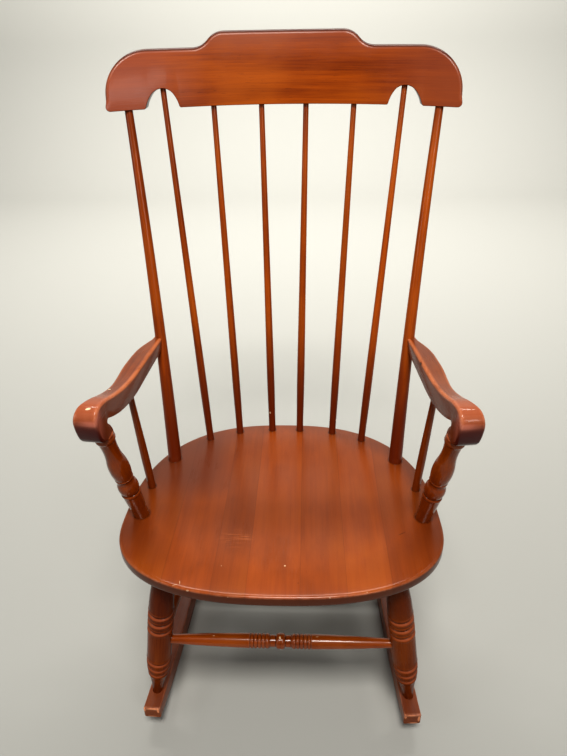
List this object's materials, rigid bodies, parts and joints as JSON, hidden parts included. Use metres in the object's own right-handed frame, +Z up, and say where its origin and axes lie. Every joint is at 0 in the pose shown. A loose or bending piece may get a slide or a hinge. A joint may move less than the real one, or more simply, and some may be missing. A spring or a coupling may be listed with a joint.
{
  "type": "rocking chair",
  "caption": "Wooden rocking chair with a bent, notched crest rail, tapered back spindles, scroll arms on turned posts, a dished plank seat, ring-turned legs and curved rockers.",
  "frame": {"origin": "on the floor, on the centre line, midway between the front edge of the seat and the rear rocker tips", "axes": "+X to the right of someone facing the chair, +Y to the back of the chair, +Z up"},
  "size_m": [0.5684, 0.6371, 1.0507],
  "materials": {
    "seat": "worn satin orange-brown stain",
    "crest": "satin-gloss orange-brown stain",
    "arms": "satin stain, rubbed at the edges",
    "back_turnings": "satin-gloss brown stain",
    "leg_turnings": "satin-gloss red-brown stain",
    "rockers": "red-brown stain, worn at the tips",
    "pins": "end grain under the same stain"
  },
  "bodies": {
    "root": {"arm_left": "arms", "arm_post_left": "back_turnings", "arm_post_right": "back_turnings", "arm_right": "arms", "arm_spindle_left": "back_turnings", "arm_spindle_right": "back_turnings", "back_post_left": "back_turnings", "back_post_right": "back_turnings", "back_spindle_1_left": "back_turnings", "back_spindle_1_right": "back_turnings", "back_spindle_2_left": "back_turnings", "back_spindle_2_right": "back_turnings", "back_spindle_3_left": "back_turnings", "back_spindle_3_right": "back_turnings", "crest_pins": "pins", "crest_rail": "crest", "front_leg_left": "leg_turnings", "front_leg_right": "leg_turnings", "front_stretcher": "leg_turnings", "rear_leg_left": "leg_turnings", "rear_leg_right": "leg_turnings", "rear_stretcher": "leg_turnings", "rocker_left": "rockers", "rocker_pins": "pins", "rocker_right": "rockers", "seat_board_1": "seat", "seat_board_2": "seat", "seat_board_3": "seat", "seat_board_4": "seat", "seat_board_5": "seat", "seat_board_6": "seat", "seat_board_7": "seat", "side_stretcher_left": "leg_turnings", "side_stretcher_right": "leg_turnings"}
  },
  "joints": []
}
